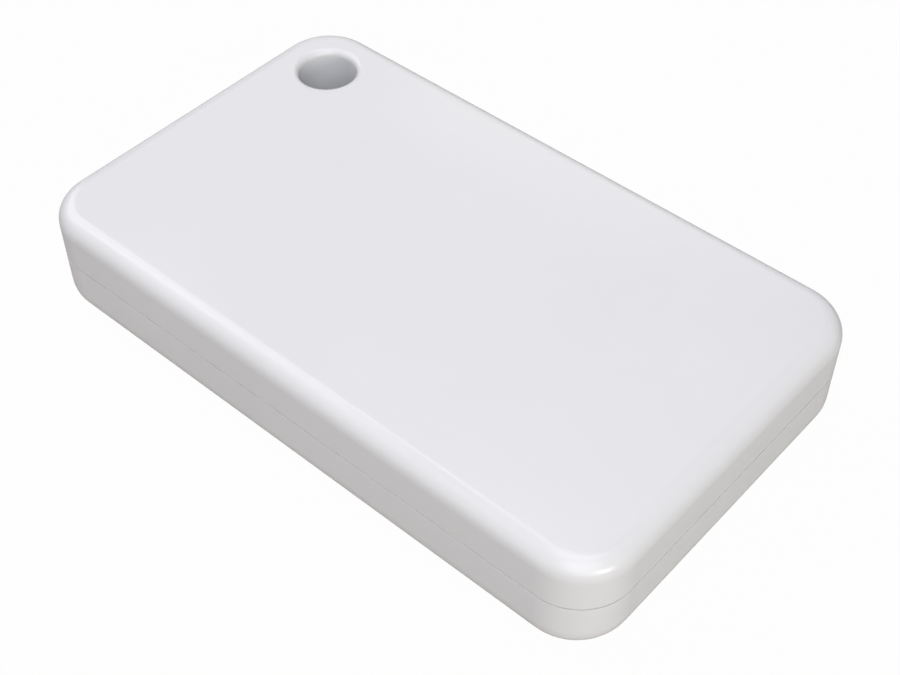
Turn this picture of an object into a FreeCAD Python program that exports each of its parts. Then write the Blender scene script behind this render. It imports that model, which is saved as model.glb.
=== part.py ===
import FreeCAD, Part
import math
import os

# Card-shaped radio beacon tag: a moulded case of two shells round a board and a coin cell.
# Millimetres. The origin is the middle of the flat underside: X along the card, Y across, Z up.
# The case is sized from what it holds, so a changed cell, board or wall still fits.

Vector = FreeCAD.Vector
UP = Vector(0, 0, 1)

# Case form
corner_radius = 4.25
top_edge_radius = 1.4
base_edge_radius = 2.1
inner_edge_bevel = 0.5
parting_height = 4.9
parting_gap = 0.1

# Case walls
floor_wall = 1.1
roof_wall = 1.1
lower_wall = 1.5
lip_wall = 0.75
tongue_wall = 0.55
cheek_wall = 0.6
groove_clearance = 0.07
tongue_rise = 1.0
seal_height = 0.6
seal_side_gap = 0.04

# Lanyard hole
hole_radius = 2.35
hole_rim_radius = 0.55
base_rim_bevel = 0.3
sleeve_wall = 1.15
sleeve_gap = 0.1
spigot_wall = 0.4
spigot_gap = 0.1
sleeve_seal_height = 0.5
sleeve_seal_gap = 0.05
collar_wall = 0.63
collar_clearance = 0.07
collar_height = 1.4

# Friction pins and their sockets
pin_radius = 0.8
pin_clearance = 0.05
pin_height = 4.1
pin_tip_bevel = 0.25
socket_radius = 1.7
socket_wall_gap = 0.5
socket_head_room = 0.4
gusset_thickness = 0.8
gusset_drop = 1.6

# Circuit board
board_thickness = 0.8
board_edge_gap = 0.5
board_lift = 0.2
board_nip = 0.1
board_notch_gap = 0.3
board_pin_gap = 0.15
support_rib_width = 0.8
edge_rib_width = 1.0
edge_rib_gap = 0.05
edge_rib_rise = 0.4

# Coin cell
cell_radius = 12.25
cell_height = 5.0
can_wall = 0.3
can_top_bevel = 0.4
can_crimp_bevel = 0.5
can_crimp_reach = 1.05
cap_inset = 1.75
cap_bevel = 0.2
cap_step = 0.25
cap_height = 0.8

# Battery holder
holder_clearance = 0.15
holder_wall = 0.8
holder_side_gap = 0.26
holder_end_gap = 0.35
holder_height = 4.3
flange_reach = 0.85
flange_gap = 0.05
finger_notch_width = 9.0
finger_notch_depth = 2.4
contact_window_width = 5.0
peg_radius = 0.6
peg_clearance = 0.05
peg_angles = [130, 310]

# Cell contacts
contact_sheet = 0.2
negative_height = 0.5
leaf_length = 12.0
leaf_width = 4.0
leaf_slot = 0.8
leaf_foot = 1.5
leaf_crest = 2.0
positive_width = 3.5
positive_gap = 0.05
positive_foot = 0.8
positive_height = 4.4
positive_bow = 0.25

# Roof ribs
hold_down_reach = 9.0
rib_thickness = 0.7
cell_nip = 0.3
roof_rib_height = 0.5
light_well_radius = 1.3
light_well_depth = 0.5

# Electronics: sizes are length, width and height
bay_length = 21.37
chip_size = 6.0
chip_height = 0.85
ring_gap = 0.75
main_crystal_size = (2.0, 1.6, 0.5)
clock_crystal_size = (3.2, 1.5, 0.75)
crystal_base_share = 0.45
crystal_lid_inset = 0.12
antenna_size = (2.0, 7.0, 0.8)
antenna_edge_gap = 0.5
small_part_size = (1.0, 0.5, 0.5)
small_part_pitch = 1.5
power_inductor_size = (2.0, 1.6, 0.9)
bulk_capacitor_size = (3.2, 2.5, 1.9)
sensor_size = (2.0, 2.0, 0.95)
led_size = (1.6, 0.8, 0.3)
led_lens_size = (1.0, 0.8, 0.3)
solder_edge = 0.05

# Push switch
switch_size = 4.5
switch_height = 1.0
switch_floor = 0.3
switch_well_radius = 1.75
switch_frame_sheet = 0.15
switch_frame_inset = 0.15
plunger_flange_radius = 1.6
plunger_radius = 1.1
plunger_clearance = 0.05
plunger_flange_height = 0.3
plunger_rise = 0.75
switch_travel = 0.25

# Heights that follow from the stack
board_base = floor_wall + board_lift
board_top = board_base + board_thickness
cell_base = board_top + negative_height
cell_top = cell_base + cell_height
roof_base = cell_top + cell_nip
height = roof_base + roof_wall
tongue_base = parting_height - parting_gap / 2
tongue_top = parting_height + tongue_rise
groove_roof = tongue_top + seal_height
pin_top = floor_wall + pin_height

# Plan sizes that follow from the contents
groove_inset = lip_wall
groove_width = tongue_wall + 2 * groove_clearance
tongue_inset = lip_wall + groove_clearance
upper_wall = lip_wall + groove_width + cheek_wall
holder_bore = cell_radius + holder_clearance
holder_radius = holder_bore + holder_wall
width = 2 * (upper_wall + holder_side_gap + holder_radius)
length = 2 * upper_wall + bay_length + 2 * holder_radius + holder_end_gap
board_inset = lower_wall + board_edge_gap
board_left = board_inset - length / 2
cell_x = length / 2 - upper_wall - holder_end_gap - holder_radius
sleeve_radius = hole_radius + sleeve_wall
hole_inset = lower_wall + sleeve_gap + sleeve_radius
hole_x = hole_inset - length / 2
hole_y = width / 2 - hole_inset
collar_bore = sleeve_radius + collar_clearance
collar_radius = collar_bore + collar_wall
pin_x = length / 2 - upper_wall - socket_wall_gap - socket_radius
pin_y = width / 2 - upper_wall - socket_wall_gap - socket_radius
pin_places = [(-pin_x, -pin_y), (pin_x, -pin_y), (pin_x, pin_y)]
chip_x = (board_left + cell_x - holder_radius) / 2
chip_reach = chip_size / 2 + ring_gap
led_place = (chip_x, pin_y - led_size[1])
switch_place = (chip_x + chip_size / 2, socket_radius + switch_size / 2 - width / 2 + upper_wall)


def plan_wire(inset, z):
    """The case's rounded outline in plan, drawn in by inset, at height z."""
    x = length / 2 - inset
    y = width / 2 - inset
    r = corner_radius - inset
    diagonal = r * (1 - math.sqrt(0.5))
    edges = []
    corners = [(1, -1), (1, 1), (-1, 1), (-1, -1)]
    for index, (sx, sy) in enumerate(corners):
        nx, ny = corners[(index + 1) % 4]
        along = Vector(sx * x, sy * (y - r), z)
        across = Vector(sx * (x - r), sy * y, z)
        middle = Vector(sx * (x - diagonal), sy * (y - diagonal), z)
        start, end = (across, along) if sx * sy < 0 else (along, across)
        following = Vector(nx * (x - r), ny * y, z) if nx * ny < 0 else Vector(nx * x, ny * (y - r), z)
        edges.append(Part.Arc(start, middle, end).toShape())
        edges.append(Part.LineSegment(end, following).toShape())
    return Part.Wire(edges)


def plan_slab(inset, z0, z1):
    return Part.Face(plan_wire(inset, z0)).extrude(UP * (z1 - z0))


def plan_ring(outer_inset, inner_inset, z0, z1):
    return plan_slab(outer_inset, z0, z1).cut(plan_slab(inner_inset, z0, z1))


def disc(x, y, radius, z0, z1):
    return Part.makeCylinder(radius, z1 - z0, Vector(x, y, z0))


def tube(x, y, outer, bore, z0, z1):
    return disc(x, y, outer, z0, z1).cut(disc(x, y, bore, z0, z1))


def block(x, y, z0, size):
    """A box of size (length, width, height), centred on x, y and standing on z0."""
    corner = Vector(x - size[0] / 2, y - size[1] / 2, z0)
    return Part.makeBox(size[0], size[1], size[2], corner)


def edges_at(shape, z, reach=None):
    """Edges that lie flat at height z, or only the round ones of a given radius."""
    found = []
    for edge in shape.Edges:
        box = edge.BoundBox
        if abs(box.ZMin - z) > 1e-6 or abs(box.ZMax - z) > 1e-6:
            continue
        is_circle = edge.isClosed() and isinstance(edge.Curve, Part.Circle)
        if reach is None and not is_circle:
            found.append(edge)
        if reach is not None and is_circle and abs(edge.Curve.Radius - reach) < 1e-6:
            found.append(edge)
    return found


def turned(points, x, y):
    """A solid turned about a vertical axis at x, y from a closed profile of (radius, z) points."""
    profile = [Vector(radius, 0, z) for radius, z in points]
    solid = Part.Face(Part.makePolygon(profile + profile[:1])).revolve(Vector(0, 0, 0), UP, 360)
    solid.translate(Vector(x, y, 0))
    return solid


def bent_sheet(path, thickness, breadth, x, y, z):
    """Sheet metal that follows a path of (x, z) points on its left side, extruded along Y."""
    sides = []
    for index, (px, pz) in enumerate(path):
        before = path[max(index - 1, 0)]
        after = path[min(index + 1, len(path) - 1)]
        first = math.atan2(pz - before[1], px - before[0]) if index else None
        second = math.atan2(after[1] - pz, after[0] - px) if index < len(path) - 1 else first
        first = second if first is None else first
        turn = math.remainder(second - first, math.tau)
        normal = first + turn / 2 - math.pi / 2
        reach = thickness / math.cos(turn / 2)
        sides.append((px + reach * math.cos(normal), pz + reach * math.sin(normal)))
    outline = [Vector(px, 0, pz) for px, pz in path + sides[::-1]]
    sheet = Part.Face(Part.makePolygon(outline + outline[:1])).extrude(Vector(0, breadth, 0))
    sheet.translate(Vector(x, y - breadth / 2, z))
    return sheet


def outer_case():
    """The whole outside with its edge radii and the lanyard hole, before it is parted."""
    case = plan_slab(0, 0, height)
    case = case.makeFillet(top_edge_radius, edges_at(case, height))
    case = case.makeFillet(base_edge_radius, edges_at(case, 0))
    case = case.cut(disc(hole_x, hole_y, hole_radius, -1, height + 1))
    case = case.makeFillet(hole_rim_radius, edges_at(case, height, hole_radius))
    return case.makeChamfer(base_rim_bevel, edges_at(case, 0, hole_radius))


def bottom_cover():
    """Lower shell: tray, tongue, collar for the lanyard sleeve, pins and board ribs."""
    shell = outer_case().common(plan_slab(-1, 0, tongue_base))
    hollow = plan_slab(lower_wall, floor_wall, height)
    hollow = hollow.makeChamfer(inner_edge_bevel, edges_at(hollow, floor_wall))
    shell = shell.cut(hollow)
    shell = shell.fuse(plan_ring(tongue_inset, tongue_inset + tongue_wall, tongue_base, tongue_top))
    collar = tube(hole_x, hole_y, collar_radius, collar_bore, floor_wall, floor_wall + collar_height)
    shell = shell.fuse(collar)
    for x, y in pin_places:
        pin = disc(x, y, pin_radius, floor_wall, pin_top)
        pin = pin.makeChamfer(pin_tip_bevel, edges_at(pin, pin_top, pin_radius))
        shell = shell.fuse([disc(x, y, socket_radius, floor_wall, board_base), pin])
    for x in (board_left + antenna_size[0] + antenna_edge_gap, chip_x, cell_x, pin_x - socket_radius):
        shell = shell.fuse(block(x, 0, floor_wall, (support_rib_width, width / 2, board_lift)))
    seat = disc(hole_x, hole_y, collar_bore, floor_wall, tongue_base)
    return shell.fuse(board_edge_ribs()).cut(seat).removeSplitter()


def board_edge_ribs():
    """Upright ribs on the lower wall that centre the board."""
    depth = board_edge_gap - edge_rib_gap
    rise = board_top + edge_rib_rise - floor_wall
    ribs = []
    for side in (-1, 1):
        wall_y = side * (width / 2 - lower_wall - depth / 2)
        wall_x = side * (length / 2 - lower_wall - depth / 2)
        for x in (chip_x, cell_x):
            ribs.append(block(x, wall_y, floor_wall, (edge_rib_width, depth, rise)))
        ribs.append(block(wall_x, 0, floor_wall, (depth, edge_rib_width, rise)))
    return ribs


def top_cover():
    """Upper shell: roof, groove with two cheeks, whole lanyard sleeve, sockets and ribs."""
    shell = outer_case().common(plan_slab(-1, parting_height + parting_gap / 2, height + 1))
    hollow = plan_slab(upper_wall, 0, roof_base)
    hollow = hollow.makeChamfer(inner_edge_bevel, edges_at(hollow, roof_base))
    shell = shell.cut(hollow)
    shell = shell.cut(plan_ring(groove_inset, groove_inset + groove_width, 0, groove_roof))
    shell = shell.fuse([lanyard_sleeve()] + [pin_socket(x, y) for x, y in pin_places])
    shell = shell.fuse(roof_ribs())
    well = disc(led_place[0], led_place[1], light_well_radius, roof_base - 1, roof_base + light_well_depth)
    return shell.cut(well).removeSplitter()


def lanyard_sleeve():
    """Tube round the hole, stepped at its foot so that a thin spigot hides the seal."""
    foot = floor_wall + sleeve_seal_height
    sleeve = tube(hole_x, hole_y, sleeve_radius, hole_radius, foot, roof_base + roof_wall / 4)
    spigot = tube(hole_x, hole_y, hole_radius + spigot_wall, hole_radius, floor_wall + spigot_gap, foot)
    return sleeve.fuse(spigot)


def pin_socket(x, y):
    """Tube that grips a round pin in a six-sided bore and holds the board down, with two gussets."""
    foot = board_top + board_nip
    socket = disc(x, y, socket_radius, foot, roof_base)
    gusset_length = socket_wall_gap + socket_radius + cheek_wall / 2
    gusset_base = roof_base - gusset_drop
    towards_x = math.copysign(gusset_length / 2, x)
    towards_y = math.copysign(gusset_length / 2, y)
    along = block(x + towards_x, y, gusset_base, (gusset_length, gusset_thickness, gusset_drop))
    across = block(x, y + towards_y, gusset_base, (gusset_thickness, gusset_length, gusset_drop))
    bore = hexagon(x, y, pin_radius + pin_clearance, foot, pin_top + socket_head_room)
    return socket.fuse([along, across]).cut(bore)


def hexagon(x, y, inner_radius, z0, z1):
    """A six-sided prism whose flats are inner_radius from its axis."""
    reach = inner_radius / math.cos(math.pi / 6)
    corners = []
    for index in range(7):
        turn = index * math.pi / 3
        corners.append(Vector(x + reach * math.cos(turn), y + reach * math.sin(turn), z0))
    return Part.Face(Part.makePolygon(corners)).extrude(UP * (z1 - z0))


def roof_ribs():
    """A cross that bears on the cell, and two stiffeners over the electronics."""
    spoke = 2 * hold_down_reach
    ribs = [block(cell_x, 0, cell_top, (spoke, rib_thickness, cell_nip))]
    ribs.append(block(cell_x, 0, cell_top, (rib_thickness, spoke, cell_nip)))
    for x in (chip_x - chip_reach, chip_x + chip_reach):
        reach = width - 2 * upper_wall - 2 * sleeve_radius
        ribs.append(block(x, 0, roof_base - roof_rib_height, (rib_thickness, reach, roof_rib_height)))
    return ribs


def seal_ring():
    inset = groove_inset + seal_side_gap
    return plan_ring(inset, groove_inset + groove_width - seal_side_gap, tongue_top, groove_roof)


def sleeve_seal():
    bore = hole_radius + spigot_wall + sleeve_seal_gap
    return tube(hole_x, hole_y, sleeve_radius, bore, floor_wall, floor_wall + sleeve_seal_height)


def circuit_board():
    """Board with a round notch for the sleeve, pin holes and peg holes."""
    board = plan_slab(board_inset, board_base, board_top)
    cutters = [disc(hole_x, hole_y, collar_radius + board_notch_gap, board_base, board_top)]
    for x, y in pin_places:
        cutters.append(disc(x, y, pin_radius + board_pin_gap, board_base, board_top))
    for x, y in peg_places():
        cutters.append(disc(x, y, peg_radius + peg_clearance, board_base, board_top))
    return board.cut(cutters)


def peg_places():
    ring = holder_radius - peg_radius - peg_clearance
    places = []
    for angle in peg_angles:
        turn = math.radians(angle)
        places.append((cell_x + ring * math.cos(turn), ring * math.sin(turn)))
    return places


def battery_holder():
    """Ring cradle with a flange under the cell's rim, a finger notch and a contact window."""
    flange_top = cell_base + cap_step - flange_gap
    flange_bore = holder_bore - flange_reach
    holder_top = board_top + holder_height
    profile = [
        (flange_bore, board_top),
        (holder_radius, board_top),
        (holder_radius, holder_top),
        (holder_bore, holder_top),
        (holder_bore, flange_top),
        (flange_bore, flange_top),
    ]
    holder = turned(profile, cell_x, 0)
    window_reach = holder_radius - flange_bore + 1
    window = (2 * window_reach, contact_window_width, holder_height)
    notch = (2 * window_reach, finger_notch_width, finger_notch_depth)
    holder = holder.cut(block(cell_x + holder_radius, 0, board_top, window))
    holder = holder.cut(block(cell_x - holder_radius, 0, holder_top - finger_notch_depth, notch))
    pegs = [disc(x, y, peg_radius, board_base, board_top) for x, y in peg_places()]
    return holder.fuse(pegs)


def positive_contact():
    """Side spring: a foot on the board, a riser and a bow that bears on the can."""
    rest = positive_bow + contact_sheet
    path = [
        (rest + positive_foot, contact_sheet),
        (rest, contact_sheet),
        (rest, positive_height * 0.4),
        (contact_sheet, positive_height * 0.65),
        (contact_sheet, positive_height * 0.75),
        (rest + positive_bow, positive_height),
    ]
    bearing = cell_x + cell_radius + positive_gap
    return bent_sheet(path[::-1], contact_sheet, positive_width, bearing, 0, board_top)


def negative_contact():
    """Arched leaf under the cell, slotted along its middle, with a foot at each end."""
    foot = leaf_length / 2 - leaf_foot
    path = [
        (-leaf_length / 2, contact_sheet),
        (-foot, contact_sheet),
        (-leaf_crest / 2, negative_height),
        (leaf_crest / 2, negative_height),
        (foot, contact_sheet),
        (leaf_length / 2, contact_sheet),
    ]
    leaf = bent_sheet(path, contact_sheet, leaf_width, cell_x, 0, board_top)
    return leaf.cut(block(cell_x, 0, board_top, (2 * foot, leaf_slot, negative_height)))


def cell_can():
    """Steel cup, open downwards, with its rim crimped in under the gasket."""
    base = cell_base + cap_step
    inner = cell_radius - can_wall
    crimp_bore = cell_radius - can_crimp_reach
    profile = [
        (0, cell_top - can_wall),
        (0, cell_top),
        (cell_radius - can_top_bevel, cell_top),
        (cell_radius, cell_top - can_top_bevel),
        (cell_radius, base + can_crimp_bevel),
        (cell_radius - can_crimp_bevel, base),
        (crimp_bore, base),
        (crimp_bore, cell_base + cap_height),
        (inner, cell_base + cap_height),
        (inner, cell_top - can_wall),
    ]
    return turned(profile, cell_x, 0)


def cell_cap():
    """Negative pole: a shallow steel cap that stands a step lower than the can's rim."""
    pole = cell_radius - cap_inset
    cap = disc(cell_x, 0, pole, cell_base, cell_base + cap_height)
    return cap.makeChamfer(cap_bevel, edges_at(cap, cell_base, pole))


def cell_gasket():
    """Insulating ring between the can's crimped rim and the cap."""
    crimp_bore = cell_radius - can_crimp_reach
    return tube(cell_x, 0, crimp_bore, cell_radius - cap_inset, cell_base + cap_step, cell_base + cap_height)


def cell_core():
    """The stack of electrodes that fills the can above the cap."""
    return disc(cell_x, 0, cell_radius - can_wall, cell_base + cap_height, cell_top - can_wall)


def soldered(x, y, size):
    """A plain chip part with slightly eased upright edges, standing on the board."""
    part = block(x, y, board_top, size)
    upright = [edge for edge in part.Edges if edge.BoundBox.ZLength > size[2] / 2]
    return part.makeChamfer(solder_edge, upright)


def radio_chip():
    return soldered(chip_x, 0, (chip_size, chip_size, chip_height))


def crystal(x, y, size):
    """Ceramic base with a smaller metal lid."""
    base_height = size[2] * crystal_base_share
    lid = (size[0] - 2 * crystal_lid_inset, size[1] - 2 * crystal_lid_inset, size[2] - base_height)
    base = soldered(x, y, (size[0], size[1], base_height))
    return base.fuse(block(x, y, board_top + base_height, lid))


def main_crystal():
    x, y, _ = main_crystal_size
    return crystal(chip_x - chip_size / 2 + x / 2, chip_reach + y / 2, main_crystal_size)


def clock_crystal():
    x, y, _ = clock_crystal_size
    return crystal(chip_x + chip_size / 2 - x / 2 + ring_gap, chip_reach + y / 2, clock_crystal_size)


def chip_antenna():
    x = board_left + antenna_edge_gap + antenna_size[0] / 2
    return soldered(x, 0, antenna_size)


def matching_inductors():
    """Three small coils: one by the chip and two at the antenna's feed."""
    by_chip = chip_x - chip_reach - small_part_size[0] / 2
    by_antenna = board_left + antenna_edge_gap + antenna_size[0] + ring_gap + small_part_size[0] / 2
    step = small_part_pitch / 2
    places = [(by_chip, 0), (by_antenna, step), (by_antenna, -step)]
    return Part.makeCompound([block(x, y, board_top, small_part_size) for x, y in places])


def decoupling_capacitors():
    """Four capacitors along each of two sides of the chip."""
    upright = (small_part_size[1], small_part_size[0], small_part_size[2])
    reach = chip_reach + small_part_size[0] / 2
    parts = []
    for index in range(4):
        step = (index - 1.5) * small_part_pitch
        parts.append(block(chip_x + reach, step, board_top, small_part_size))
        parts.append(block(chip_x + step, -reach, board_top, upright))
    return Part.makeCompound(parts)


def chip_resistors():
    """One beside the light and a column of four beside the capacitors."""
    upright = (small_part_size[1], small_part_size[0], small_part_size[2])
    parts = [block(led_place[0] + led_size[0] / 2 + small_part_pitch, led_place[1], board_top, upright)]
    x = chip_x + chip_reach + small_part_size[0] + small_part_pitch
    for index in range(4):
        parts.append(block(x, (index - 1.5) * small_part_pitch, board_top, small_part_size))
    return Part.makeCompound(parts)


def power_inductor():
    x = chip_x - chip_size / 2 - power_inductor_size[0] / 2
    y = -chip_reach - small_part_size[0] - ring_gap - power_inductor_size[1] / 2
    return soldered(x, y, power_inductor_size)


def bulk_capacitor():
    x = chip_x + chip_size / 2 + ring_gap + bulk_capacitor_size[0] / 2
    y = pin_y - bulk_capacitor_size[1] / 2
    return soldered(x, y, bulk_capacitor_size)


def motion_sensor():
    x = -pin_x + socket_radius + ring_gap + sensor_size[0] / 2
    return soldered(x, -pin_y + sensor_size[1] / 2, sensor_size)


def status_led():
    """Small light: a base and a clear block on it, under the thin spot in the roof."""
    base = soldered(led_place[0], led_place[1], led_size)
    return base.fuse(block(led_place[0], led_place[1], board_top + led_size[2], led_lens_size))


def switch_base():
    """Moulded switch body with a round well for the plunger."""
    x, y = switch_place
    body = soldered(x, y, (switch_size, switch_size, switch_height))
    return body.cut(disc(x, y, switch_well_radius, board_top + switch_floor, board_top + switch_height))


def switch_frame():
    """Steel plate over the body, with the plunger's hole."""
    x, y = switch_place
    side = switch_size - 2 * switch_frame_inset
    top = board_top + switch_height
    plate = block(x, y, top, (side, side, switch_frame_sheet))
    return plate.cut(disc(x, y, plunger_radius + plunger_clearance, top, top + switch_frame_sheet))


def switch_plunger():
    """Plunger: its flange stays under the steel plate, its stem stands through it."""
    x, y = switch_place
    flange_top = board_top + switch_height - plunger_clearance
    flange = disc(x, y, plunger_flange_radius, flange_top - plunger_flange_height, flange_top)
    stem = disc(x, y, plunger_radius, flange_top, flange_top + switch_frame_sheet + plunger_rise)
    return flange.fuse(stem)


nodes = [
    bottom_cover, top_cover, seal_ring, sleeve_seal, circuit_board, battery_holder,
    positive_contact, negative_contact, cell_can, cell_cap, cell_gasket, cell_core,
    radio_chip, main_crystal, clock_crystal, chip_antenna, matching_inductors,
    power_inductor, bulk_capacitor, decoupling_capacitors, chip_resistors, motion_sensor,
    status_led, switch_base, switch_frame, switch_plunger,
]

os.makedirs("parts", exist_ok=True)
for node in nodes:
    shape = node()
    shape.exportStep("parts/" + node.__name__ + ".step")
    print(node.__name__, len(shape.Solids), round(shape.Volume, 3), shape.isValid())
room_under_plunger = switch_height - plunger_clearance - plunger_flange_height - switch_floor
print("case", round(length, 3), round(width, 3), round(height, 3))
print("plunger travel", switch_travel, "of", round(room_under_plunger, 3))
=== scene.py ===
import math

import bpy
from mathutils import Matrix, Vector


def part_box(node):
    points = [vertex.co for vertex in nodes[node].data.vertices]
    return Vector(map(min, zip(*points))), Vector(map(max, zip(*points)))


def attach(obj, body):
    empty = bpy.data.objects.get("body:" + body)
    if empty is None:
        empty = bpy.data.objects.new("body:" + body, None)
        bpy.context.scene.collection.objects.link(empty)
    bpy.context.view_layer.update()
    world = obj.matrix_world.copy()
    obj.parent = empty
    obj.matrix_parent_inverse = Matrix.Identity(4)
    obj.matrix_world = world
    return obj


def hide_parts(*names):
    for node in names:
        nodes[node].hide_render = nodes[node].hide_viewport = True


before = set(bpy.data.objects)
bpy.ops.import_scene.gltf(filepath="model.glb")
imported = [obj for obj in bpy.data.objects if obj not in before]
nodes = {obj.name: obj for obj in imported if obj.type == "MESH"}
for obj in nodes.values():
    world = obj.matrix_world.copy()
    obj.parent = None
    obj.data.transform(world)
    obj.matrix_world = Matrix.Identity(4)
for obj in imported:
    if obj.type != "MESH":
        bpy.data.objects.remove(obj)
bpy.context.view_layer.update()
MM = 0.001

# Camera: a long portrait lens that looks down on the near corner of the tag, so that the
# length, the width and the lanyard hole in the far corner all show. The turn is about the
# vertical from the tag's short side, and the tilt is above the table.
camera_turn = math.radians(41.25)
camera_tilt = math.radians(46.87)
lens = bpy.data.cameras.new("product_camera")
lens.sensor_width = 36
lens.lens = 61.98
lens.clip_start = 1 * MM
lens.clip_end = 10
camera = bpy.data.objects.new("product_camera", lens)
bpy.context.scene.collection.objects.link(camera)
camera.location = Vector((53.34, -59.33, 85.53)) * MM
camera.rotation_euler = (math.pi / 2 - camera_tilt, 0, camera_turn)
bpy.context.scene.camera = camera
bpy.context.scene.view_settings.view_transform = "Standard"


# Studio: a white table and surround in which the camera sees no edge. Gloss and glass see the
# surround white and the table pale grey. The softboxes below light the tag, with what the
# table throws back and a trace from the surround, and the table keeps a faint contact shadow.
class Link:
    """A shader value that can stand in sums with numbers and other links."""

    def __init__(self, finish, socket):
        self.finish = finish
        self.socket = socket

    def calculate(self, operation, first, second=0.0):
        return self.finish.node("ShaderNodeMath", {"operation": operation}, {0: first, 1: second})

    def __add__(self, other):
        return self.calculate("ADD", self, other)

    def __sub__(self, other):
        return self.calculate("SUBTRACT", self, other)

    def __mul__(self, other):
        return self.calculate("MULTIPLY", self, other)

    def __radd__(self, other):
        return self.calculate("ADD", other, self)

    def __rsub__(self, other):
        return self.calculate("SUBTRACT", other, self)

    def __rmul__(self, other):
        return self.calculate("MULTIPLY", other, self)

    def __abs__(self):
        return self.calculate("ABSOLUTE", self)

    def most(self, other):
        return self.calculate("MAXIMUM", self, other)

    def root(self):
        return self.calculate("SQRT", self)

    def step(self, low, high):
        """0 below low, 1 above high and smooth between."""
        inputs = {"Value": self, "From Min": low, "From Max": high}
        return self.finish.node("ShaderNodeMapRange", {"interpolation_type": "SMOOTHSTEP"}, inputs)


class Finish:
    """A material under construction: node() adds any node and returns one output as a Link."""

    def __init__(self, name, tree=None):
        if tree is None:
            self.material = bpy.data.materials.new(name)
            self.material.use_nodes = True
            tree = self.material.node_tree
        self.tree = tree
        self.tree.nodes.clear()

    def node(self, kind, settings=None, inputs=None, output=0):
        made = self.tree.nodes.new(kind)
        for name, value in (settings or {}).items():
            setattr(made, name, value)
        for name, value in (inputs or {}).items():
            socket = made.inputs[name]
            if isinstance(value, Link):
                self.tree.links.new(value.socket, socket)
            elif isinstance(value, tuple) and socket.type == "RGBA":
                socket.default_value = (*value, 1)
            else:
                socket.default_value = value
        return Link(self, made.outputs[output]) if made.outputs else None

    def place(self, origin=(0.0, 0.0, 0.0)):
        """Object coordinates in metres, counted from origin."""
        here = self.node("ShaderNodeTexCoord", output="Object")
        settings = {"operation": "SUBTRACT"}
        return self.node("ShaderNodeVectorMath", settings, {0: here, 1: origin})

    def axes(self, vector):
        return [self.node("ShaderNodeSeparateXYZ", inputs={0: vector}, output=index) for index in range(3)]

    def stretched(self, vector, scale, turn=0.0):
        """The vector scaled, to draw grains out into lines, and turned about Z."""
        inputs = {"Vector": vector, "Rotation": (0.0, 0.0, turn), "Scale": scale}
        return self.node("ShaderNodeMapping", inputs=inputs)

    def noise(self, vector, scale, detail=2.0):
        return self.node("ShaderNodeTexNoise", inputs={"Vector": vector, "Scale": scale, "Detail": detail})

    def blend(self, factor, first, second):
        """A colour between two colours."""
        return self.node("ShaderNodeMix", {"data_type": "RGBA"}, {0: factor, 6: first, 7: second}, output=2)

    def relief(self, height, depth):
        """A normal for bumps that are depth metres high at a height of 1."""
        return self.node("ShaderNodeBump", inputs={"Height": height, "Strength": 1.0, "Distance": depth})

    def principled(self, **inputs):
        """Ends the material with a Principled shader, whose inputs are named with underscores."""
        named = {name.replace("_", " "): value for name, value in inputs.items()}
        return self.surface(self.node("ShaderNodeBsdfPrincipled", inputs=named))

    def surface(self, shader):
        self.node("ShaderNodeOutputMaterial", inputs={"Surface": shader})
        return self.material

    def white_to_lens(self, kind, shade, to_camera, to_gloss):
        """White, by the given shares, where camera, gloss or glass look at it, and shade elsewhere."""
        camera_ray, glossy_ray, glass_ray = (
            self.node("ShaderNodeLightPath", output=ray)
            for ray in ("Is Camera Ray", "Is Glossy Ray", "Is Transmission Ray")
        )
        white = self.node(kind, inputs={"Color": (1.0, 1.0, 1.0), "Strength": 1.0})
        seen = (camera_ray * to_camera).most(glossy_ray.most(glass_ray) * to_gloss)
        return self.node("ShaderNodeMixShader", inputs={0: seen, 1: shade, 2: white})


table_grey = (0.47, 0.45, 0.425)
table_finish = Finish("studio_table_white")
table_paint = table_finish.node("ShaderNodeBsdfDiffuse", inputs={"Color": table_grey})
table_seen = table_finish.white_to_lens("ShaderNodeEmission", table_paint, to_camera=0.98, to_gloss=0.15)
table_white = table_finish.surface(table_seen)
bpy.ops.object.select_all(action="DESELECT")
bpy.ops.mesh.primitive_plane_add(size=4)
table = bpy.context.object
table.name = "studio_table"
table.data.materials.append(table_white)

surround = bpy.data.worlds.new("studio_surround")
surround.use_nodes = True
bpy.context.scene.world = surround
sky = Finish("studio_surround", surround.node_tree)
dim = sky.node("ShaderNodeBackground", inputs={"Color": (1.0, 1.0, 1.0), "Strength": 0.02})
sky_seen = sky.white_to_lens("ShaderNodeBackground", dim, to_camera=1.0, to_gloss=1.0)
sky.node("ShaderNodeOutputWorld", inputs={"Surface": sky_seen})


def softbox(name, turn, rise, size, power, colour):
    """A lamp half a metre from the tag, turn degrees round it and rise degrees above it."""
    distance = 0.5
    data = bpy.data.lights.new(name, "AREA")
    data.shape = "RECTANGLE"
    data.size, data.size_y = size
    data.energy = power
    data.color = colour
    lamp = bpy.data.objects.new(name, data)
    bpy.context.scene.collection.objects.link(lamp)
    turn, rise = math.radians(turn), math.radians(rise)
    out = Vector((math.cos(turn) * math.cos(rise), math.sin(turn) * math.cos(rise), math.sin(rise)))
    lamp.location = out * distance
    lamp.rotation_mode = "QUATERNION"
    lamp.rotation_quaternion = (-out).to_track_quat("-Z", "Y")


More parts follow.
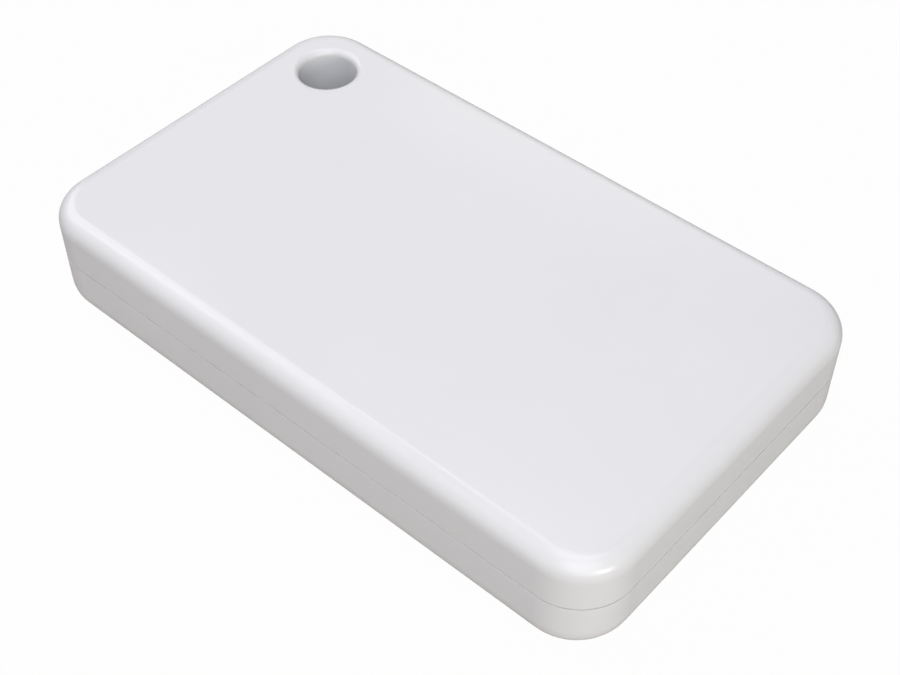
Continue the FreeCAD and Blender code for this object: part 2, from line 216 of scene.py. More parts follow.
softbox("overhead_softbox", 0, 89, (0.28, 0.28), 0.61, (0.91, 0.89, 1.00))
softbox("left_softbox", 180, 42, (0.34, 0.38), 0.87, (1.00, 0.97, 0.98))
softbox("front_left_softbox", 215, 42, (0.30, 0.30), 0.18, (0.99, 0.94, 1.00))
softbox("near_corner_softbox", -46, 45, (0.40, 0.40), 1.23, (0.88, 0.95, 1.00))
softbox("low_corner_softbox", -42, 12, (0.36, 0.20), 0.39, (1.00, 0.84, 0.72))
softbox("low_window", -15, 12, (0.17, 0.14), 0.58, (1.00, 0.98, 0.91))
softbox("far_overhead_softbox", 135, 65, (0.14, 0.14), 0.13, (1.00, 0.86, 0.77))
softbox("far_softbox", 131, 47, (0.28, 0.28), 0.17, (0.89, 0.87, 1.00))
softbox("low_far_softbox", 120, 30, (0.20, 0.20), 0.09, (0.98, 1.00, 0.65))


# Case shells: two injection-moulded halves in white ABS, polished outside and left with the
# mould's fine spark-eroded texture inside, where the ejector pins leave shallow round marks.
# They close on a tongue and groove round the edge, with three friction pins.
def from_axis(x, y):
    """The distance from an upright axis, of the distances from it along X and Y."""
    return (x * x + y * y).root()


def moulded_white(name, inner_level, pin_marks):
    """White ABS; inner_level is the height of the inside face that pin_marks (x, y) lie on."""
    wall_x, wall_y, wall_fade = 24.62 * MM, 14.02 * MM, 0.08 * MM
    roof, floor, fade = 8.45 * MM, 0.50 * MM, 0.05 * MM
    hole_x, hole_y, hole_rim = -21.0 * MM, 10.4 * MM, 2.95 * MM
    mark_radius, mark_fade = 1.15 * MM, 0.10 * MM
    seam, half_gap, easing = 4.90 * MM, 0.05 * MM, 0.10 * MM
    finish = Finish(name)
    place = finish.place()
    x, y, z = finish.axes(place)
    side = abs(x).step(wall_x, wall_x + wall_fade).most(abs(y).step(wall_y, wall_y + wall_fade))
    ends = z.step(roof, roof + fade).most(1 - z.step(floor, floor + fade))
    hole = 1 - from_axis(x - hole_x, y - hole_y).step(hole_rim, hole_rim + fade)
    polished = side.most(ends).most(hole)
    cloud = finish.noise(place, 55.0, 3.0)
    flow = finish.noise(place, 420.0, 1.0)
    spark = finish.noise(place, 5200.0, 2.0)
    marks = 0.0
    for mark_x, mark_y in pin_marks:
        from_mark = from_axis(abs(x) - mark_x, y - mark_y)
        marks = marks + (1 - from_mark.step(mark_radius, mark_radius + mark_fade))
    level = 1 - abs(z - inner_level).step(0.04 * MM, 0.06 * MM)
    eased = (seam - z).step(half_gap, half_gap + easing)
    height = flow * 0.02 + spark * 0.25 * (1 - polished) + eased * 1.1 - marks * level
    colour = finish.blend(cloud.step(0.35, 0.65), (0.800, 0.799, 0.808), (0.818, 0.817, 0.826))
    return finish.principled(
        Base_Color=colour,
        Roughness=0.165 + 0.05 * cloud + 0.22 * (1 - polished),
        Normal=finish.relief(height, 0.03 * MM),
        IOR=1.52,
    )


def dress(node_name, material):
    """Gives a CAD node's own mesh a finish."""
    mesh = nodes[node_name].data
    mesh.materials.clear()
    mesh.materials.append(material)


floor_level = 1.1 * MM
floor_marks = [(16.0 * MM, 0.0), (19.5 * MM, -6.5 * MM)]
dress("bottom_cover", moulded_white("abs_lower_shell", floor_level, floor_marks))


# Seals: a cord in the groove between the shells and a flat ring under the lanyard sleeve, both
# of grey silicone rubber. They are moulded with a faint matt skin that holds dust.
def silicone(name):
    finish = Finish(name)
    place = finish.place()
    skin = finish.noise(place, 900.0, 3.0)
    dust = finish.noise(place, 4000.0, 1.0).step(0.62, 0.70)
    return finish.principled(
        Base_Color=finish.blend(dust * 0.4, (0.36, 0.38, 0.41), (0.62, 0.62, 0.60)),
        Roughness=0.46 + 0.12 * skin,
        Normal=finish.relief(skin, 0.01 * MM),
        Subsurface_Weight=0.08,
        Subsurface_Scale=0.4 * MM,
        IOR=1.42,
    )


dress("sleeve_seal", silicone("sleeve_seal_silicone"))


# Circuit board: 0.8 mm glass-fibre laminate under green solder mask, with bare tan edges. The
# copper under the mask shows as lighter runs, bare pads are gold plated, and the outlines are
# printed in white ink. The three pins of the lower shell go through it.
def box_mm(node_name):
    """The low and the high corner of a CAD node, in mm."""
    low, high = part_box(node_name)
    return low / MM, high / MM


board_low, board_high = box_mm("circuit_board")
board_top = board_high.z


def board_laminate():
    finish = Finish("board_laminate")
    place = finish.place()
    x, y, z = finish.axes(place)
    edge = z.step((board_low.z + 0.02) * MM, (board_low.z + 0.04) * MM)
    edge = edge * (1 - z.step((board_top - 0.04) * MM, (board_top - 0.02) * MM))
    weave = finish.node("ShaderNodeTexWave", {"bands_direction": "X"}, {"Vector": place, "Scale": 800.0})
    weft = finish.node("ShaderNodeTexWave", {"bands_direction": "Y"}, {"Vector": place, "Scale": 800.0})
    cloth = weave * weft
    layers = finish.node("ShaderNodeTexWave", {"bands_direction": "Z"}, {"Vector": place, "Scale": 1900.0})
    pour = finish.noise(place, 120.0, 2.0)
    mask = finish.blend(pour * 0.7 + cloth * 0.08, (0.010, 0.088, 0.040), (0.018, 0.140, 0.062))
    fibre = finish.blend(layers, (0.42, 0.36, 0.20), (0.60, 0.54, 0.34))
    return finish.principled(
        Base_Color=finish.blend(edge, mask, fibre),
        Roughness=0.30 + 0.04 * cloth + 0.30 * edge,
        Normal=finish.relief(cloth * 0.2 + pour, 0.01 * MM),
        Coat_Weight=0.25,
        Coat_Roughness=0.15,
    )


def printed(name, colour, roughness, metallic, speckle):
    """Plating, tin or ink: one colour that breaks up a little at the scale of its grains."""
    finish = Finish(name)
    place = finish.place()
    grain = finish.noise(place, 3500.0, 3.0)
    cloud = finish.noise(place, 500.0, 2.0)
    darker = tuple(part * (1 - speckle) for part in colour)
    return finish.principled(
        Base_Color=finish.blend(grain * 0.6 + cloud * 0.4, darker, colour),
        Roughness=roughness + 0.16 * grain,
        Metallic=metallic,
        Normal=finish.relief(grain, 0.006 * MM),
    )


masked_copper = printed("masked_copper", (0.032, 0.190, 0.078), 0.26, 0.0, 0.25)
gold_plate = printed("gold_plate", (0.72, 0.49, 0.19), 0.20, 1.0, 0.22)
white_ink = printed("white_ink", (0.74, 0.75, 0.73), 0.50, 0.0, 0.12)
tin_solder = printed("tin_solder", (0.46, 0.47, 0.49), 0.16, 1.0, 0.35)


def grasp(pieces):
    """Selects these pieces and no others, and makes the first the active one."""
    bpy.ops.object.select_all(action="DESELECT")
    for piece in pieces:
        piece.select_set(True)
    bpy.context.view_layer.objects.active = pieces[0]


def settle(piece, name, node_name, body="base"):
    """Names a finished piece, hides the CAD node it stands in for, if any, and lets it ride with its body.
    """
    grasp([piece])
    bpy.ops.object.transform_apply(location=True, rotation=True, scale=True)
    piece.name = name
    piece.data.name = name
    if node_name:
        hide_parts(node_name)
    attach(piece, body)


def joined(pieces):
    """Makes one piece of several, with its own origin at the frame's."""
    grasp(pieces)
    bpy.ops.object.transform_apply(location=True, rotation=True, scale=True)
    if len(pieces) > 1:
        bpy.ops.object.join()
    return bpy.context.object


def strips(runs, thickness, material):
    """Flat strips on the board, each (x0, y0, x1, y1, width) in mm, grown past both ends by half
    their width, so that runs meet at a bend. Each lies a hair above the last."""
    hair = 0.0006
    laid = []
    for index, (x0, y0, x1, y1, width) in enumerate(runs):
        bpy.ops.mesh.primitive_plane_add(size=1)
        strip = bpy.context.object
        length = math.hypot(x1 - x0, y1 - y0) + width
        strip.scale = (length * MM, width * MM, 1)
        strip.rotation_euler.z = math.atan2(y1 - y0, x1 - x0)
        strip.location = ((x0 + x1) / 2 * MM, (y0 + y1) / 2 * MM, (board_top + index * hair) * MM)
        laid.append(strip)
    sheet = joined(laid)
    layer = sheet.modifiers.new("layer", "SOLIDIFY")
    layer.thickness = thickness * MM
    layer.offset = 1
    bpy.ops.object.modifier_apply(modifier=layer.name)
    sheet.data.materials.append(material)
    return sheet


def spread(piece, places):
    """Copies a piece made at the origin to each (x, y, turn) in mm and degrees, and joins them."""
    piece = joined([piece])
    copies = []
    for x, y, turn in places:
        grasp([piece])
        bpy.ops.object.duplicate()
        copy = bpy.context.object
        copy.location = (x * MM, y * MM, 0)
        copy.rotation_euler.z = math.radians(turn)
        copies.append(copy)
    bpy.data.objects.remove(piece)
    return joined(copies)


dress("circuit_board", board_laminate())
chip_low, chip_high = box_mm("radio_chip")
chip_x = (chip_low.x + chip_high.x) / 2
chip_rows = (-2.25, -0.75, 0.75, 2.25)
copper_thickness = 0.012
antenna_runs = [
    (chip_low.x, 0, -22.0, 0, 0.45), (-20.35, -0.75, -20.35, 0.75, 0.4), (-22.6, -2.8, -22.6, -4.6, 0.5),
]
crystal_runs = [
    (chip_x - 2.75, 3.0, chip_x - 2.75, 4.0, 0.15), (chip_x - 1.25, 3.0, chip_x - 1.25, 4.0, 0.15),
    (chip_x + 1.0, 3.0, chip_x + 1.0, 4.2, 0.15), (chip_x + 2.5, 3.0, chip_x + 3.2, 3.9, 0.15),
]
light_runs = [
    (chip_x, 3.0, chip_x, 8.4, 0.15), (chip_x, 8.4, -12.4, 9.1, 0.15), (-12.4, 9.1, -11.1, 9.1, 0.15),
    (-11.1, 9.1, -11.1, 9.8, 0.15), (-11.1, 11.1, -11.1, 12.2, 0.3), (-11.1, 12.2, -3.0, 12.2, 0.6),
    (chip_x - 1.0, 10.46, -16.2, 10.46, 0.3), (-16.2, 10.46, -16.2, 7.4, 0.3),
    (-8.0, 11.3, -8.0, 12.2, 0.8), (-9.7, 10.0, -11.0, 7.2, 0.2),
]
power_runs = [(chip_high.x, row, -6.4, row, 0.2) for row in chip_rows]
power_runs += [
    (-6.2, -2.25, -6.2, 6.2, 0.35), (-6.2, 6.2, -4.4, 8.0, 0.35), (-6.2, -2.25, -4.0, -4.5, 0.35),
    (-17.4, -5.2, -17.4, -3.4, 0.4), (-17.4, -3.4, -16.4, -2.4, 0.3), (-16.5, -6.3, -15.2, -6.3, 0.4),
    (-15.2, -6.3, -9.0, -6.3, 0.5), (-9.0, -6.3, -4.0, -6.3, 0.5),
]
power_runs += [(chip_x + row, -3.0, chip_x + row, -6.3, 0.2) for row in chip_rows]
switch_runs = [
    (-12.4, -7.6, -12.4, -6.3, 0.25), (-8.4, -7.6, -7.2, -6.6, 0.25), (-18.4, -9.2, -18.4, -7.8, 0.15),
    (-18.0, -9.2, -18.0, -8.2, 0.15), (-18.4, -7.8, -19.6, -6.6, 0.15), (-19.6, -6.6, -19.6, -2.6, 0.15),
    (-19.6, -2.6, -18.6, -1.5, 0.15), (-18.6, -1.5, -16.4, -1.5, 0.15), (-18.0, -8.2, -16.2, -8.2, 0.15),
    (-16.2, -8.2, -14.9, -6.9, 0.15), (-14.9, -6.9, -14.9, -3.0, 0.15),
]
board_runs = antenna_runs + crystal_runs + light_runs + power_runs + switch_runs
settle(strips(board_runs, copper_thickness, masked_copper), "board_copper_runs", None)

test_pads = [(-5.2, -8.2), (-5.2, -10.2), (-5.2, -12.2), (-2.6, -10.2), (-2.6, -12.2)]
bpy.ops.mesh.primitive_cylinder_add(vertices=32, radius=0.62 * MM, depth=0.03 * MM,
                                    location=(0, 0, (board_top + 0.005) * MM))
test_pad = bpy.context.object
rim = test_pad.modifiers.new("rim", "BEVEL")
rim.width = 0.01 * MM
bpy.ops.object.modifier_apply(modifier=rim.name)
test_pad.data.materials.append(gold_plate)
settle(spread(test_pad, [(x, y, 0) for x, y in test_pads]), "board_test_pads", None)

row_start, row_pitch = -22.9, 1.3
via_places = [(row_start + row_pitch * index, 6.0) for index in range(4)]
via_places += [(row_start + row_pitch * index, -6.6) for index in range(3)]
via_places += [
    (-4.4, 8.0), (-4.0, -4.5), (-4.0, -6.3), (-3.6, 12.2), (-16.2, 7.4), (-19.2, 3.2), (-17.9, 3.2),
    (-22.6, -4.9), (-7.2, -6.6), (-14.0, 6.4), (-11.0, 7.2), (-21.6, -8.2), (-14.8, -11.9), (-14.8, -9.6),
]
bpy.ops.mesh.primitive_torus_add(major_segments=20, minor_segments=6, major_radius=0.2 * MM,
                                 minor_radius=0.08 * MM, location=(0, 0, (board_top + 0.03) * MM))
via = bpy.context.object
via_flatness = 0.4
via.scale.z = via_flatness
via.data.materials.append(gold_plate)
settle(spread(via, [(x, y, 0) for x, y in via_places]), "board_vias", None)


def outline(x0, y0, x1, y1, line=0.12):
    """Four printed lines round a part, in mm."""
    return [(x0, y0, x1, y0, line), (x1, y0, x1, y1, line), (x1, y1, x0, y1, line), (x0, y1, x0, y0, line)]


ink_thickness = 0.041
ink_runs = []
for part, gap in (
    ("radio_chip", 0.42), ("main_crystal", 0.30), ("clock_crystal", 0.30), ("power_inductor", 0.35),
    ("bulk_capacitor", 0.35), ("motion_sensor", 0.40), ("switch_base", 0.70), ("status_led", 0.35),
):
    low, high = box_mm(part)
    ink_runs += outline(low.x - gap, low.y - gap, high.x + gap, high.y + gap)
first_lead_mark = [(chip_low.x - 0.9, 3.4, chip_low.x - 0.75, 3.4, 0.3)]
supply_plus = [(-2.6, -8.2, -1.4, -8.2, 0.2), (-2.0, -8.8, -2.0, -7.6, 0.2)]
ink = strips(ink_runs + first_lead_mark + supply_plus, ink_thickness, white_ink)
settle(ink, "board_printed_outlines", None)


# Small chip parts: ceramic capacitors, thick-film resistors and wound inductors, 1.0 x 0.5 mm,
# each held at its two tinned ends by a fillet of solder on its pads.
def choose(piece, test):
    """Goes to edit mode with only the faces selected whose centre and normal pass the test."""
    bpy.context.view_layer.objects.active = piece
    bpy.ops.object.mode_set(mode="EDIT")
    bpy.ops.mesh.select_mode(type="FACE")
    bpy.ops.mesh.select_all(action="DESELECT")
    bpy.ops.object.mode_set(mode="OBJECT")
    for face in piece.data.polygons:
        face.select = test(face.center, face.normal)
    bpy.ops.object.mode_set(mode="EDIT")


def block(centre, size):
    """A sharp-edged block in mm, the start of a piece."""
    bpy.ops.mesh.primitive_cube_add(size=1, location=Vector(centre) * MM)
    piece = bpy.context.object
    piece.scale = Vector(size) * MM
    bpy.ops.object.transform_apply(location=True, rotation=True, scale=True)
    return piece


def ease_edges(piece, width, material):
    """Rounds every edge of the piece by width in mm and gives it its material."""
    easing = piece.modifiers.new("easing", "BEVEL")
    easing.width = width * MM
    easing.segments = 2
    bpy.ops.object.modifier_apply(modifier=easing.name)
    piece.data.materials.append(material)
    return piece


def rounded_block(centre, size, edge, material):
    """A block in mm whose edges are eased by edge."""
    return ease_edges(block(centre, size), edge, material)


def solder_pad(x, y, size, edge):
    """Tinned copper that lies on the board with its middle at x, y, all in mm."""
    return rounded_block((x, y, board_top + size[2] / 2), size, edge, tin_solder)


def solder_wedge(x, side, breadth, reach, rise):
    """Solder that climbs from a pad to the face of a lead at x, facing side (+1 or -1) along X."""
    foot = board_top + 0.05
    top_reach, top_breadth = 0.2, 0.8
    wedge = block((x + side * reach / 2, 0, foot + rise / 2), (reach, breadth, rise))
    choose(wedge, lambda centre, normal: normal.z > 0.9)
    bpy.ops.transform.resize(value=(top_reach, top_breadth, 1.0))
    bpy.ops.transform.translate(value=(-side * reach * (1 - top_reach) / 2 * MM, 0, 0))
    bpy.ops.object.mode_set(mode="OBJECT")
    return ease_edges(wedge, 0.25 * min(reach, rise), tin_solder)


lead_pad = 0.064


def chip_part(size, cap, body, ends, rise):
    """One two-ended part at the origin, along X: body, tinned ends of length cap, pads and solder."""
    length, breadth, height = size
    middle_z = board_top + height / 2
    pieces = [rounded_block((0, 0, middle_z), (length - cap, breadth - 0.02, height - 0.02), 0.02, body)]
    for side in (-1, 1):
        pieces += [
            rounded_block((side * (length - cap) / 2, 0, middle_z), (cap, breadth, height), 0.05, ends),
            solder_pad(side * (length / 2 + 0.02), 0, (cap + 0.42, breadth + 0.1, lead_pad), 0.02),
            solder_wedge(side * length / 2, side, breadth * 0.9, 0.16, height * rise),
        ]
    return joined(pieces)


def fired_ceramic(name, colour, roughness, speck):
    """Ceramic or ferrite with fine specks of a second tone, fired a little uneven."""
    finish = Finish(name)
    place = finish.place()
    specks = finish.noise(place, 9000.0, 2.0).step(0.52, 0.68)
    cloud = finish.noise(place, 1400.0, 2.0)
    second = tuple(min(1.0, part * (1 + speck)) for part in colour)
    return finish.principled(
        Base_Color=finish.blend(specks * 0.5 + cloud * 0.3, colour, second),
        Roughness=roughness + 0.15 * cloud,
        Normal=finish.relief(cloud + specks * 0.4, 0.008 * MM),
    )


def middle(node_name):
    """The middle of a CAD node in plan, unturned, and the node's size, in mm."""
    low, high = box_mm(node_name)
    return ((low.x + high.x) / 2, (low.y + high.y) / 2, 0), tuple(high - low)


small_size = (1.0, 0.5, 0.5)
tinned_end = printed("tinned_end", (0.54, 0.53, 0.52), 0.28, 1.0, 0.28)
capacitor_ceramic = fired_ceramic("capacitor_ceramic", (0.33, 0.205, 0.12), 0.38, 0.35)
resistor_film = fired_ceramic("resistor_film", (0.012, 0.012, 0.014), 0.30, 1.5)
inductor_ceramic = fired_ceramic("inductor_ceramic", (0.055, 0.070, 0.095), 0.36, 0.9)
first_row = 0.75 + small_size[0] / 2
second_row = first_row + 2.0
light_x, light_y = middle("status_led")[0][:2]
capacitor_places = [(chip_high.x + first_row, row, 0) for row in chip_rows]
capacitor_places += [(chip_x + row, chip_low.y - first_row, 90) for row in chip_rows]
resistor_places = [(chip_x + 2.3, light_y, 90)]
resistor_places += [(chip_high.x + second_row, row, 0) for row in chip_rows]
inductor_places = [(chip_low.x - first_row, 0, 0), (-20.35, 0.75, 0), (-20.35, -0.75, 0)]
capacitors = spread(chip_part(small_size, 0.24, capacitor_ceramic, tinned_end, 0.5), capacitor_places)
settle(capacitors, "soldered_capacitors", "decoupling_capacitors")
resistors = spread(chip_part(small_size, 0.22, resistor_film, tinned_end, 0.6), resistor_places)
settle(resistors, "soldered_resistors", "chip_resistors")
inductors = spread(chip_part(small_size, 0.20, inductor_ceramic, tinned_end, 0.5), inductor_places)
settle(inductors, "soldered_inductors", "matching_inductors")


# Larger two-ended parts: the bulk capacitor that carries the radio's current peaks, and the
# shielded inductor of its converter. Same build as the small ones, at their own sizes.
for name, node_name, cap, body, slot in (
    ("soldered_bulk_capacitor", "bulk_capacitor", 0.55, capacitor_ceramic, "capacitor_ceramic"),
    ("soldered_power_inductor", "power_inductor", 0.45, inductor_ceramic, "inductor_ceramic"),
):
    centre, size = middle(node_name)
    part = chip_part(size, cap, body, tinned_end, 0.4)
    settle(spread(part, [centre]), name, node_name)


# Radio chip and motion sensor: black moulded epoxy packages with flat leads along their lower
# edges and a round dimple that marks the first lead. The mould leaves a fine matt grain.
def moulded_epoxy(name, node_name, inset, radius):
    """Black epoxy with a dimple of this radius, inset in mm from the corner of the first lead."""
    low, high = box_mm(node_name)
    finish = Finish(name)
    place = finish.place()
    x, y, z = finish.axes(finish.place(((low.x + inset) * MM, (high.y - inset) * MM, 0.0)))
    grain = finish.noise(place, 7000.0, 2.0)
    cloud = finish.noise(place, 700.0, 2.0)
    top = z.step((high.z - 0.05) * MM, (high.z - 0.02) * MM)
    pit = (1 - from_axis(x, y).step((radius - 0.03) * MM, radius * MM)) * top
    return finish.principled(
        Base_Color=finish.blend(cloud, (0.016, 0.016, 0.018), (0.030, 0.030, 0.032)),
        Roughness=0.48 + 0.14 * grain - 0.22 * pit,
        Normal=finish.relief(grain * 0.12 - pit, 0.04 * MM),
        IOR=1.55,
    )


def edge_leads(node_name, count, pitch, breadth, rise):
    """Leads with their solder, count on each side of a square chip."""
    centre, size = middle(node_name)
    reach = size[0] / 2
    lead = joined([
        rounded_block((reach + 0.005, 0, board_top + rise / 2), (0.03, breadth, rise), 0.006, tinned_end),
        solder_pad(reach + 0.12, 0, (0.34, breadth * 1.1, lead_pad), 0.015),
        solder_wedge(reach + 0.02, 1, breadth * 0.85, 0.15, rise * 0.7),
    ])
    row = spread(lead, [(0, (index - (count - 1) / 2) * pitch, 0) for index in range(count)])
    return spread(row, [(centre[0], centre[1], turn) for turn in (0, 90, 180, 270)])


dress("radio_chip", moulded_epoxy("chip_epoxy", "radio_chip", 0.8, 0.28))
settle(edge_leads("radio_chip", 12, 0.45, 0.22, 0.2), "radio_chip_leads", None)
dress("motion_sensor", moulded_epoxy("sensor_epoxy", "motion_sensor", 0.35, 0.14))
settle(edge_leads("motion_sensor", 3, 0.5, 0.25, 0.12), "motion_sensor_leads", None)


# Crystals: a dark ceramic tray with a plated lid welded on it, for the radio's clock and for
# the slow clock. Each stands on soldered pads at its corners.
def lidded_crystal(name, seam):
    """Ceramic below the height seam in mm, and plated above it."""
    finish = Finish(name)
    place = finish.place()
    x, y, z = finish.axes(place)
    lid = z.step((seam - 0.01) * MM, (seam + 0.01) * MM)
    rolled = finish.noise(place, 2600.0, 3.0)
    cloud = finish.noise(place, 900.0, 2.0)
    ceramic = finish.blend(cloud, (0.055, 0.042, 0.036), (0.090, 0.072, 0.062))
    plate = finish.blend(cloud, (0.46, 0.44, 0.38), (0.60, 0.58, 0.52))
    return finish.principled(
        Base_Color=finish.blend(lid, ceramic, plate),
        Metallic=lid,
        Roughness=0.46 - 0.20 * lid + 0.10 * rolled,
        Normal=finish.relief(rolled, 0.006 * MM),
    )


tray_share = 0.45
corner_share = 0.36
for name in ("main_crystal", "clock_crystal"):
    (x, y, unturned), (length, breadth, height) = middle(name)
    dress(name, lidded_crystal(name + "_case", board_top + height * tray_share))
    pad_size = (length * 0.36, breadth * 0.46, 0.06)
    pads = [
        solder_pad(x + side_x * length * corner_share, y + side_y * breadth * corner_share, pad_size, 0.02)
        for side_x in (-1, 1) for side_y in (-1, 1)
    ]
    settle(joined(pads), name + "_solder", None)


# Chip antenna: a bar of white fired ceramic with silver ends and a fine silver track printed
# back and forth over its top, at the short edge of the board where the copper stops.
antenna_centre, antenna_size = middle("chip_antenna")


def antenna_bar():
    end_y, track_x, track_y, fade = 2.98 * MM, 0.66 * MM, 2.60 * MM, 0.02 * MM
    rung_pitch, rung_half, rung_fade = 0.35 * MM, 0.055 * MM, 0.01 * MM
    finish = Finish("antenna_ceramic")
    place = finish.place((antenna_centre[0] * MM, 0.0, board_top * MM))
    x, y, z = finish.axes(place)
    grain = finish.noise(place, 5000.0, 2.0)
    ends = abs(y).step(end_y, end_y + fade)
    wave = finish.node("ShaderNodeMath", {"operation": "PINGPONG"}, {0: y, 1: rung_pitch})
    rungs = 1 - abs(wave - rung_pitch / 2).step(rung_half, rung_half + rung_fade)
    inner = 1 - abs(x).step(track_x, track_x + rung_fade)
    top = z.step((antenna_size[2] - 0.04) * MM, (antenna_size[2] - 0.02) * MM)
    track = rungs * inner * top * (1 - abs(y).step(track_y, track_y + fade))
    silver = ends.most(track)
    fired = finish.blend(grain, (0.66, 0.64, 0.58), (0.76, 0.74, 0.69))
    return finish.principled(
        Base_Color=finish.blend(silver, fired, (0.44, 0.44, 0.46)),
        Metallic=silver,
        Roughness=0.42 + 0.12 * grain - 0.14 * silver,
        Normal=finish.relief(grain * 0.3 + silver, 0.012 * MM),
    )


dress("chip_antenna", antenna_bar())
antenna_pad = (antenna_size[0] + 0.2, 0.9, 0.06)
antenna_pads = [
    solder_pad(antenna_centre[0], side * (antenna_size[1] / 2 - 0.1), antenna_pad, 0.02)
    for side in (-1, 1)
]
settle(joined(antenna_pads), "chip_antenna_solder", None)


# Status light: a white moulded base with plated ends, and a clear block over a small phosphor
# patch. It shines through the thin spot of the roof above it.
def light_body():
    end_x, base_height, patch_radius = 0.62 * MM, 0.30 * MM, 0.20 * MM
    finish = Finish("status_light")
    place = finish.place((light_x * MM, light_y * MM, board_top * MM))
    x, y, z = finish.axes(place)
    grain = finish.noise(place, 3000.0, 2.0)
    base_part = 1 - z.step(base_height - 0.01 * MM, base_height + 0.01 * MM)
    ends = abs(x).step(end_x, end_x + 0.02 * MM) * base_part
    clear_part = z.step(base_height, base_height + 0.02 * MM)
    patch = (1 - from_axis(x, y).step(patch_radius, patch_radius + 0.08 * MM)) * clear_part
    base = finish.blend(ends, (0.80, 0.80, 0.78), (0.82, 0.60, 0.28))
    clear = finish.blend(patch, (0.80, 0.78, 0.66), (0.86, 0.68, 0.16))
    return finish.principled(
        Base_Color=finish.blend(clear_part, base, clear),
        Metallic=ends,
        Roughness=0.34 + 0.10 * grain - 0.24 * clear_part,
        Coat_Weight=clear_part,
        Normal=finish.relief(grain, 0.005 * MM),
    )


dress("status_led", light_body())
light_pads = [solder_pad(light_x + side * 0.78, light_y, (0.5, 0.85, 0.04), 0.015) for side in (-1, 1)]
settle(joined(light_pads), "status_led_solder", None)


# Push switch: a black moulded body, a stamped steel plate held by four bent tabs, and a black
# plunger that wears smooth on top. Its terminals are soldered at both sides.
def worn_plastic(name, colour, worn_level, roughness):
    """Dark nylon with glass fibre: fine streaks, and a smoother face above worn_level in mm."""
    finish = Finish(name)
    place = finish.place()
    x, y, z = finish.axes(place)
    streaks = finish.noise(finish.stretched(place, (1.0, 0.25, 1.0)), 3800.0, 3.0)
    cloud = finish.noise(place, 500.0, 2.0)
    worn = z.step((worn_level - 0.03) * MM, (worn_level - 0.01) * MM)
    lighter = tuple(part * 2.2 + 0.004 for part in colour)
    return finish.principled(
        Base_Color=finish.blend(streaks * 0.4 + worn * 0.35 * cloud, colour, lighter),
        Roughness=roughness + 0.16 * streaks - 0.14 * worn,
        Normal=finish.relief(streaks + cloud * 0.4, 0.010 * MM),
    )


def rolled_sheet(name, colour, roughness, along):
    """Sheet metal with the fine lines of rolling along one direction, and faint stains."""
    finish = Finish(name)
    place = finish.place()
    rolling = finish.noise(finish.stretched(place, along), 6000.0, 3.0)
    stains = finish.noise(place, 350.0, 3.0)
    darker = tuple(part * 0.78 for part in colour)
    return finish.principled(
        Base_Color=finish.blend(stains * 0.7 + rolling * 0.3, darker, colour),
        Metallic=1.0,
        Roughness=roughness + 0.14 * rolling + 0.08 * stains,
        Normal=finish.relief(rolling, 0.004 * MM),
    )


above_switch = 9.0
plunger_top = box_mm("switch_plunger")[1].z
dress("switch_base", worn_plastic("switch_nylon", (0.020, 0.020, 0.022), above_switch, 0.44))
switch_steel = rolled_sheet("switch_steel", (0.50, 0.50, 0.49), 0.24, (0.08, 1.0, 1.0))
dress("switch_frame", switch_steel)
dress("switch_plunger", worn_plastic("plunger_nylon", (0.030, 0.030, 0.033), plunger_top, 0.42))
pair = []
for lead_y in (1.55, -1.55):
    pair += [
        rounded_block((2.52, lead_y, board_top + 0.09), (0.66, 0.7, 0.14), 0.03, switch_steel),
        solder_pad(2.62, lead_y, (0.9, 0.95, 0.04), 0.015),
        rounded_block((2.28, lead_y, board_top + 0.28), (0.1, 0.7, 0.5), 0.03, switch_steel),
    ]
switch_x, switch_y = middle("switch_base")[0][:2]
terminals = spread(joined(pair), [(switch_x, switch_y, 0), (switch_x, switch_y, 180)])
settle(terminals, "switch_terminals", None)


# Battery holder: a ring cradle of black glass-filled nylon, pegged and glued to the board. The
# cell is prised out at the notch towards the electronics.
ring_top = 6.4
dress("battery_holder", worn_plastic("holder_nylon", (0.016, 0.016, 0.018), ring_top, 0.46))


# Cell contacts: nickel and gold plated spring strip. The side spring bears on the can, the
# arched leaf under the cell bears on its cap, and both are soldered at their feet.
spring_plate = rolled_sheet("plated_spring", (0.66, 0.53, 0.29), 0.20, (1.0, 0.08, 1.0))
dress("positive_contact", spring_plate)
dress("negative_contact", spring_plate)
foot_inset = 0.45
feet = []
for name, side in (("positive_contact", 1), ("negative_contact", -1), ("negative_contact", 1)):
    low, high = box_mm(name)
    foot_x = (high.x if side > 0 else low.x) - side * foot_inset
    feet.append(solder_pad(foot_x, 0, (0.86, high.y - low.y + 0.5, 0.12), 0.05))
settle(joined(feet), "contact_solder", None)


# Coin cell: a drawn steel can, turned upside down so that its flat positive face is on top,
# crimped over a plastic ring that holds the negative cap. Both steels show fine circular lines.
cell_low, cell_high = box_mm("cell_can")
cell_x = (cell_low.x + cell_high.x) / 2
groove_radius = (cell_high.x - cell_low.x) / 2 - 1.3


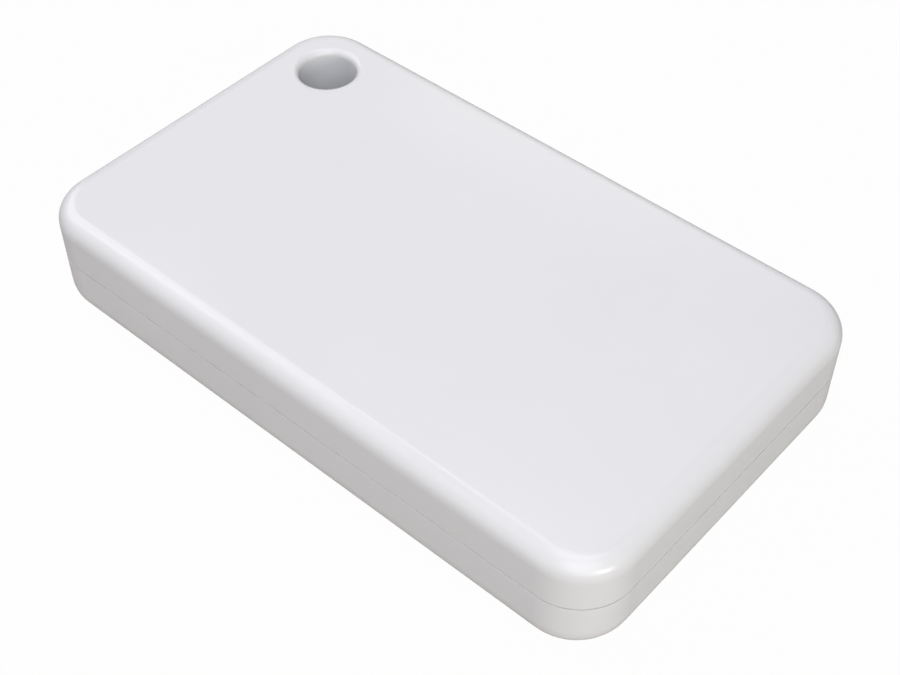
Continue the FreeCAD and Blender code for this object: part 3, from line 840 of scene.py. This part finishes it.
def drawn_steel(name, face, dots):
    """Nickel plated steel with circular lines and a rolled groove, or with the cap's pressed dots."""
    finish = Finish(name)
    place = finish.place((cell_x * MM, 0.0, face * MM))
    x, y, z = finish.axes(place)
    radius = from_axis(x, y)
    lines = finish.node("ShaderNodeTexNoise", {"noise_dimensions": "1D"}, {"W": radius, "Scale": 9000.0})
    stains = finish.noise(place, 240.0, 4.0)
    scratch = finish.noise(finish.stretched(place, (0.04, 1.0, 1.0), 0.7), 5200.0, 1.0).step(0.70, 0.74)
    flat = 1 - abs(z).step(0.04 * MM, 0.06 * MM)
    if dots:
        grid = {"Vector": place, "Scale": 900.0, "Randomness": 0.0}
        cells = finish.node("ShaderNodeTexVoronoi", {"voronoi_dimensions": "2D"}, grid)
        hollow = (1 - cells.step(0.18, 0.30)) * flat * 1.6
    else:
        hollow = (1 - abs(radius - groove_radius * MM).step(0.05 * MM, 0.12 * MM)) * flat * 0.5
    colour = finish.blend(stains * 0.6 + lines * 0.4, (0.36, 0.36, 0.355), (0.54, 0.54, 0.53))
    return finish.principled(
        Base_Color=colour,
        Metallic=1.0,
        Roughness=0.20 + 0.12 * lines + 0.10 * stains + 0.10 * scratch,
        Normal=finish.relief(lines * 0.012 - hollow, 0.06 * MM),
    )


def gasket_plastic():
    finish = Finish("gasket_plastic")
    place = finish.place()
    cloud = finish.noise(place, 600.0, 3.0)
    return finish.principled(
        Base_Color=finish.blend(cloud, (0.62, 0.60, 0.54), (0.74, 0.72, 0.66)),
        Roughness=0.34 + 0.14 * cloud,
        Normal=finish.relief(cloud, 0.01 * MM),
    )


can_steel = drawn_steel("cell_can_steel", cell_high.z, dots=False)
dress("cell_can", can_steel)
dress("cell_cap", drawn_steel("cell_cap_steel", box_mm("cell_cap")[0].z, dots=True))
plus_centre = (cell_x - 6.0, -5.0, cell_high.z)
plus_bars = [
    rounded_block(plus_centre, size, 0.05, can_steel) for size in ((2.6, 0.6, 0.130), (0.6, 2.6, 0.136))
]
settle(joined(plus_bars), "cell_plus_mark", None, "coin_cell")
dress("cell_gasket", gasket_plastic())
dress("cell_core", fired_ceramic("electrode_mass", (0.020, 0.020, 0.022), 0.60, 1.2))


# Upper shell, with the silicone cord pressed into its groove. It takes the whole lanyard sleeve
# down to the floor, grips the pins, and bears on the cell with its cross of ribs.
roof_level = 7.9 * MM
roof_marks = [(17.5 * MM, -5.6 * MM), (13.4 * MM, 0.0)]
dress("seal_ring", silicone("seal_ring_silicone"))
dress("top_cover", moulded_white("abs_upper_shell", roof_level, roof_marks))
